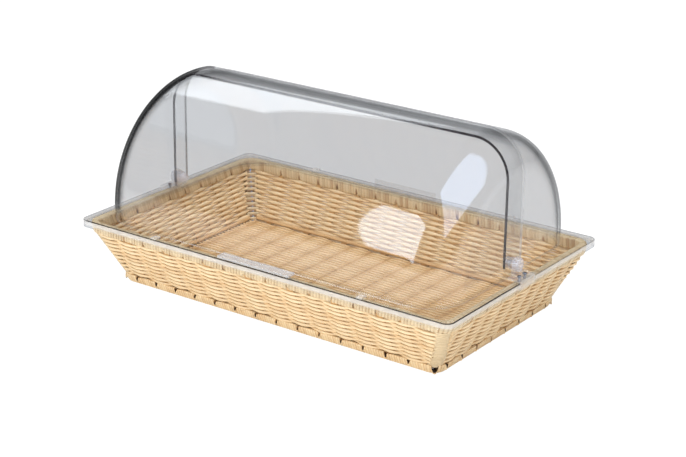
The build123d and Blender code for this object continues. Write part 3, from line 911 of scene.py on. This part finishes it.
def wrap_rim():
    """The rim, leaning with the walls, its lower edge drawn up over each stake."""
    tall = RIM_HIGH.z - RIM_LOW.z
    middle = (RIM_HIGH.z + RIM_LOW.z) / 2
    inset = (RIM_WIDTH + RIM_LEAN) / 2
    ring = Ring(RIM_HIGH.x - inset, RIM_HIGH.y - inset, RIM_CORNER + RIM_LEAN / 2 - RIM_WIDTH / 2)
    stakes = ring_stakes(ring)

    def section(distance, turn, ridge):
        across, height = rounded(turn, RIM_SQUARENESS)
        dip = (1.0 - ridge) * WRAP_RIDGE
        out = (RIM_WIDTH / 2 - dip) * across + RIM_LEAN / 2 * height
        up = (tall / 2 - dip) * height
        # The inner side is darkened, and the notches over the stakes take painted shade, as shares of a
        # hole's.
        sunk = INNER_RIM_SHADE if across < 0 and height < INNER_RIM_HEIGHT else 0.0
        if height < 0:
            gap = nearest(distance, stakes, ring.length)
            notch = soft_notch(gap, STAKE_HALF / 2)
            sunk = max(sunk, notch * (INNER_NOTCH_SHADE if across < 0 else OUTER_NOTCH_SHADE))
            up += RIM_NOTCH * notch
        return WRAP_SLANT * height, out, middle + up, sunk

    return wrapped_ring("rim_wrapping", ring, WRAP_PITCH, section, seed=17, cane=WRAP)


def wrap_foot():
    """The foot, with a hole above it before each stake and at each corner."""
    tall = FOOT_HIGH.z - FOOT_LOW.z
    middle = (FOOT_HIGH.z + FOOT_LOW.z) / 2
    lean = (FLARE_X + FLARE_Y) / 2 * tall / 2
    inset = lean + FOOT_THICKNESS / 2
    ring = Ring(FOOT_HIGH.x - inset, FOOT_HIGH.y - inset, CORNER_RADIUS - FOOT_THICKNESS / 2)
    holes = [mark - FOOT_HOLE_AHEAD for mark in ring_stakes(ring)]
    bends = [side * ring.quarter + ring.before(side) + CORNER_HOLE * ring.bend for side in range(4)]

    def section(distance, turn, ridge):
        across, height = rounded(turn, FOOT_SQUARENESS)
        dip = (1.0 - ridge) * FOOT_RIDGE
        out = (FOOT_THICKNESS / 2 - dip) * across + lean * height
        up = (tall / 2 - dip * FOOT_TOP_RIDGE) * height
        sunk = 0.0
        if height > 0:
            gap = nearest(distance, holes, ring.length)
            tail = FOOT_TAIL_DEPTH * (1.0 - gap / FOOT_TAIL) if 0 < gap < FOOT_TAIL else 0.0
            corner = CORNER_HOLE_DEPTH * soft_notch(
                nearest(distance, bends, ring.length), CORNER_HOLE_HALF
            )
            hole = FOOT_HOLE_DEPTH * soft_notch(gap, FOOT_HOLE_HALF)
            # The holes, the corner holes and the tails are painted dark, as shade.
            shade = max(hole, corner, FOOT_TAIL_SHADE * tail) / FOOT_TAIL_DEPTH
            sunk = min(1.0, shade) if height > FOOT_HOLE_FLOOR else 0.0
            up -= max(hole, tail, corner)
        return 0.0, out, middle + up, sunk

    return wrapped_ring("foot_wrapping", ring, FOOT_PITCH, section, seed=18, cane=WEAVE)


stands_for(wrap_rim(), "rim_wrap", "basket")
stands_for(wrap_foot(), "base_border", "basket")


# ---------------------------------------------------------------- the clear covers

SPIN_STEPS = 144
CORNER_SEGMENTS = 12
MERGE_WITHIN = 0.01 * MM
EDGE_REACH = 0.5 * MM
CUT_SLOT, SEAT_SLOT = 1, 2  # material slots of the edges, after the sheet's own


def choose(mesh, items, wanted):
    """Selects only the vertices, edges or faces that the test wants, in edit mode."""
    for item in (*mesh.verts, *mesh.edges, *mesh.faces):
        item.select_set(False)
    for item in items:
        if wanted(item):
            item.select_set(True)


def spin_outline(name, half_length, radius, corner):
    """An outline with rounded corners, spun about the pivots, left open round the pins."""
    start_clean()
    bpy.ops.mesh.primitive_plane_add(size=2, location=(0, 0, 0), rotation=(math.pi / 2, 0, 0))
    piece = bpy.context.object
    piece.name = piece.data.name = name
    bpy.ops.object.transform_apply(location=False, rotation=True, scale=False)
    bpy.ops.object.mode_set(mode="EDIT")
    bpy.context.tool_settings.mesh_select_mode = (True, False, False)
    bpy.ops.transform.resize(value=(half_length, 1.0, (radius - PIN_HOLE) / 2))
    bpy.ops.transform.translate(value=(0, 0, PIVOT.z + (radius + PIN_HOLE) / 2))
    mesh = bmesh.from_edit_mesh(piece.data)
    choose(mesh, mesh.verts, lambda vertex: vertex.co.z > PIVOT.z + radius / 2)
    bpy.ops.mesh.bevel(offset=corner, segments=CORNER_SEGMENTS, affect="VERTICES")
    bpy.ops.mesh.select_all(action="SELECT")
    bpy.ops.mesh.delete(type="ONLY_FACE")
    bpy.context.tool_settings.mesh_select_mode = (False, True, False)
    mesh = bmesh.from_edit_mesh(piece.data)
    bottom = PIVOT.z + 2 * PIN_HOLE
    choose(mesh, mesh.edges, lambda edge: all(vertex.co.z < bottom for vertex in edge.verts))
    bpy.ops.mesh.delete(type="EDGE")
    bpy.context.tool_settings.mesh_select_mode = (True, False, False)
    bpy.ops.mesh.select_all(action="SELECT")
    bpy.ops.mesh.spin(steps=SPIN_STEPS, angle=2 * math.pi, center=(0, 0, PIVOT.z), axis=(1, 0, 0))
    bpy.ops.mesh.select_all(action="SELECT")
    bpy.ops.mesh.remove_doubles(threshold=MERGE_WITHIN)
    return piece


def round_pivot_corner(mesh, reach):
    """Pulls the cut corner beside the pivot onto an arc about it."""
    for vertex in mesh.verts:
        arm = Vector((0, vertex.co.y, vertex.co.z - PIVOT.z))
        if arm.y * reach > 0 > arm.z and arm.length > abs(reach):
            arm *= abs(reach) / arm.length
            vertex.co.y, vertex.co.z = arm.y, PIVOT.z + arm.z


def face_outwards(mesh):
    """Turns an open shell's faces away from the pivot axis's middle."""
    outward = sum(
        face.normal.dot(face.calc_center_median() - PIVOT) * face.calc_area() for face in mesh.faces
    )
    if outward < 0:
        bmesh.ops.reverse_faces(mesh, faces=mesh.faces)


def sort_edges(piece, reach):
    """The seat's edge is clear with a faint painted glint, and the cut edge beside the other cover keeps
    its painted dark finish.
    """
    for face in piece.data.polygons:
        if face.material_index == CUT_SLOT and abs(face.center.y - reach) > EDGE_REACH:
            face.material_index = SEAT_SLOT


def roll_cover(name, half_length, radius, corner, reach, sheet, edge):
    """One quarter of the roll top, cut off above the flange and past the pivots, with its wall."""
    piece = spin_outline(name, half_length, radius, corner)
    bpy.ops.mesh.select_all(action="SELECT")
    bpy.ops.mesh.bisect(plane_co=(0, 0, FRONT_LOW.z), plane_no=(0, 0, 1), clear_inner=True)
    bpy.ops.mesh.select_all(action="SELECT")
    bpy.ops.mesh.bisect(
        plane_co=(0, reach, 0), plane_no=(0, math.copysign(1.0, reach), 0), clear_outer=True
    )
    mesh = bmesh.from_edit_mesh(piece.data)
    round_pivot_corner(mesh, reach)
    face_outwards(mesh)
    bmesh.update_edit_mesh(piece.data)
    bpy.ops.object.mode_set(mode="OBJECT")
    wall = piece.modifiers.new("wall", "SOLIDIFY")
    wall.thickness = COVER_WALL
    wall.offset = -1.0
    wall.use_even_offset = True
    wall.material_offset_rim = CUT_SLOT
    for material in (sheet, edge, SEAT_GLINT_EDGE):
        piece.data.materials.append(material)
    bpy.ops.object.modifier_apply(modifier=wall.name)
    sort_edges(piece, reach)
    return smooth(piece)


RADIUS = FRONT_HIGH.z - PIVOT.z
front_roll = roll_cover(
    "front_roll_cover", FRONT_HIGH.x, RADIUS, FRONT_CORNER, OVERLAP, FRONT_SHEET, FRONT_EDGE
)
stands_for(front_roll, "front_cover", "front_shell")
rear_roll = roll_cover(
    "rear_roll_cover",
    REAR_HIGH.x,
    RADIUS - NESTING,
    FRONT_CORNER - NESTING,
    -OVERLAP,
    REAR_SHEET,
    REAR_EDGE,
)
stands_for(rear_roll, "rear_cover", "rear_shell")


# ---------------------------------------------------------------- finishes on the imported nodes

NODE_FINISHES = (
    (SHADED_STRAP, ("cross_stakes", "end_stakes")),
    (STEEL, ("top_rod", "base_rod", "corner_rods", "bracket_screws")),
    (PIVOT_PLASTIC, ("left_pivot_pin", "right_pivot_pin", "pivot_washers", "pin_retainers")),
    (GRIP_PLASTIC, ("front_grip",)),
    (PAD_PLASTIC, ("rear_grip",)),
    (BRACKET_PLASTIC, ("left_pivot_bracket", "right_pivot_bracket")),
    (CLEAR_FRAME, ("cover_frame",)),
)
for node_finish, nodes in NODE_FINISHES:
    for node in nodes:
        frame["nodes"][node].data.materials[0] = node_finish


# ---------------------------------------------------------------- floor and light

WHITE = (1.0, 1.0, 1.0)
STAGE_SIZE = 14.0
STAGE_DROP = 0.5 * MM  # the stage lies this far below the foot
STAGE_COLOUR = (0.92, 0.92, 0.92, 1.0)
STAGE_ROUGHNESS, STAGE_SPECULAR = 0.9, 0.1
STAGE_GLOW = 1.1
STAGE_WHITENESS = 0.93  # the glow's share of what the camera sees of the stage
PAPER = (0.715, 0.725, 0.745)  # the stage, seen through clear sheet
ROOM_TINT = (0.95, 0.97, 1.0)
# The room as it lights the object, as it is mirrored, and as the camera sees it.
ROOM_GLOW, MIRRORED_GLOW, SEEN_GLOW = 0.3, 0.12, 1.05
CLEAR_FACES_IN_LINE = 32  # a look passes this many clear faces and no more
FRONT_TINT, RIGHT_TINT, OVERHEAD_TINT = (0.8, 1.0, 1.2), (0.8, 0.97, 1.3), (0.95, 1.0, 1.05)


def behind_cover(tree):
    """1 for what the camera sees through clear sheet, else 0."""
    path = tree.nodes.new("ShaderNodeLightPath")
    through = maths(tree, "GREATER_THAN", path.outputs["Transparent Depth"], 0.5)
    return maths(tree, "MULTIPLY", through, path.outputs["Is Camera Ray"])


def glowing(tree, colour, strength=1.0):
    """A shader that gives its own even light."""
    node = tree.nodes.new("ShaderNodeEmission")
    node.inputs["Color"].default_value = (*colour, 1.0)
    node.inputs["Strength"].default_value = strength
    return node.outputs[0]


def set_stage():
    """A pale floor. Through the clear cover it is seen a little greyer, as the paper really is."""
    start_clean()
    bpy.ops.mesh.primitive_plane_add(size=STAGE_SIZE, location=(0, 0, -STAGE_DROP))
    floor = bpy.context.object
    floor.name = "studio_floor"
    material, tree, output = finish("pale_floor")
    shader = opaque(tree, STAGE_ROUGHNESS, STAGE_SPECULAR)
    shader.inputs["Base Color"].default_value = STAGE_COLOUR
    path = tree.nodes.new("ShaderNodeLightPath")
    seen = maths(tree, "MULTIPLY", path.outputs["Is Camera Ray"], STAGE_WHITENESS)
    white = mixed(tree, seen, shader.outputs[0], glowing(tree, WHITE, STAGE_GLOW))
    paper = mixed(tree, behind_cover(tree), white, glowing(tree, PAPER))
    tree.links.new(paper, output.inputs[0])
    floor.data.materials.append(material)


def set_world():
    """White behind the object, and a soft grey room for lighting and reflections."""
    world = bpy.data.worlds.new("studio")
    bpy.context.scene.world = world
    world.use_nodes = True
    tree = world.node_tree
    tree.nodes.clear()
    output = tree.nodes.new("ShaderNodeOutputWorld")
    path = tree.nodes.new("ShaderNodeLightPath")
    skies = []
    for colour, strength in ((ROOM_TINT, ROOM_GLOW), (ROOM_TINT, MIRRORED_GLOW), (WHITE, SEEN_GLOW)):
        sky = tree.nodes.new("ShaderNodeBackground")
        sky.inputs["Color"].default_value = (*colour, 1.0)
        sky.inputs["Strength"].default_value = strength
        skies.append(sky.outputs[0])
    room, mirrored, straight = skies
    lighting = mixed(tree, path.outputs["Is Glossy Ray"], room, mirrored)
    tree.links.new(mixed(tree, path.outputs["Is Camera Ray"], lighting, straight), output.inputs[0])


def softbox(name, place, way, size, glow, colour=WHITE, turn=0.0, mirrored=True):
    """A rectangular light at a place, facing a way and turned about it, as bright to look at as its glow.

    One is either mirrored in the clear sheet or lights the rest.
    """
    data = bpy.data.lights.new(name, "AREA")
    data.shape = "RECTANGLE"
    data.size, data.size_y = size
    data.energy = glow * math.pi * size[0] * size[1]
    data.color = colour
    lamp = bpy.data.objects.new(name, data)
    bpy.context.scene.collection.objects.link(lamp)
    lamp.location = place
    facing = (-Vector(way)).to_track_quat("Z", "Y") @ Quaternion((0, 0, 1), math.radians(turn))
    lamp.rotation_euler = facing.to_euler()
    lamp.visible_glossy = mirrored
    lamp.visible_diffuse = not mirrored


set_stage()
set_world()
softbox(
    "front_softbox",
    place=(-0.31, -1.414, 0.573),
    way=(0, 0.52, -0.85),
    size=(0.64, 1.16),
    glow=4.6,
    colour=FRONT_TINT,
    turn=-18.4,
)
softbox(
    "right_softbox",
    place=(0.97, -0.2, 1.6),
    way=(-0.72, 0, -0.69),
    size=(1.85, 2.3),
    glow=3.0,
    colour=RIGHT_TINT,
)
softbox(
    "overhead_softbox",
    place=(-1.6, 1.2, 1.6),
    way=(0, 0, -1),
    size=(0.9, 1.6),
    glow=4.3,
    colour=OVERHEAD_TINT,
)
FILLS = (
    ("overhead_fill", (0.1, 0.0, 2.0), (0, 0, -1), (2.4, 2.4), 2.45),
    ("front_fill", (-0.2, -2.3, 0.9), (0.1, 0.95, -0.3), (1.6, 1.6), 4.0),
    ("right_fill", (2.2, -0.6, 0.7), (-0.95, 0.2, -0.25), (1.4, 1.4), 2.2),
)
for fill in FILLS:
    softbox(*fill, mirrored=False)
bpy.context.scene.view_settings.view_transform = "Standard"
bpy.context.scene.cycles.transparent_max_bounces = CLEAR_FACES_IN_LINE

bpy.context.view_layer.update()
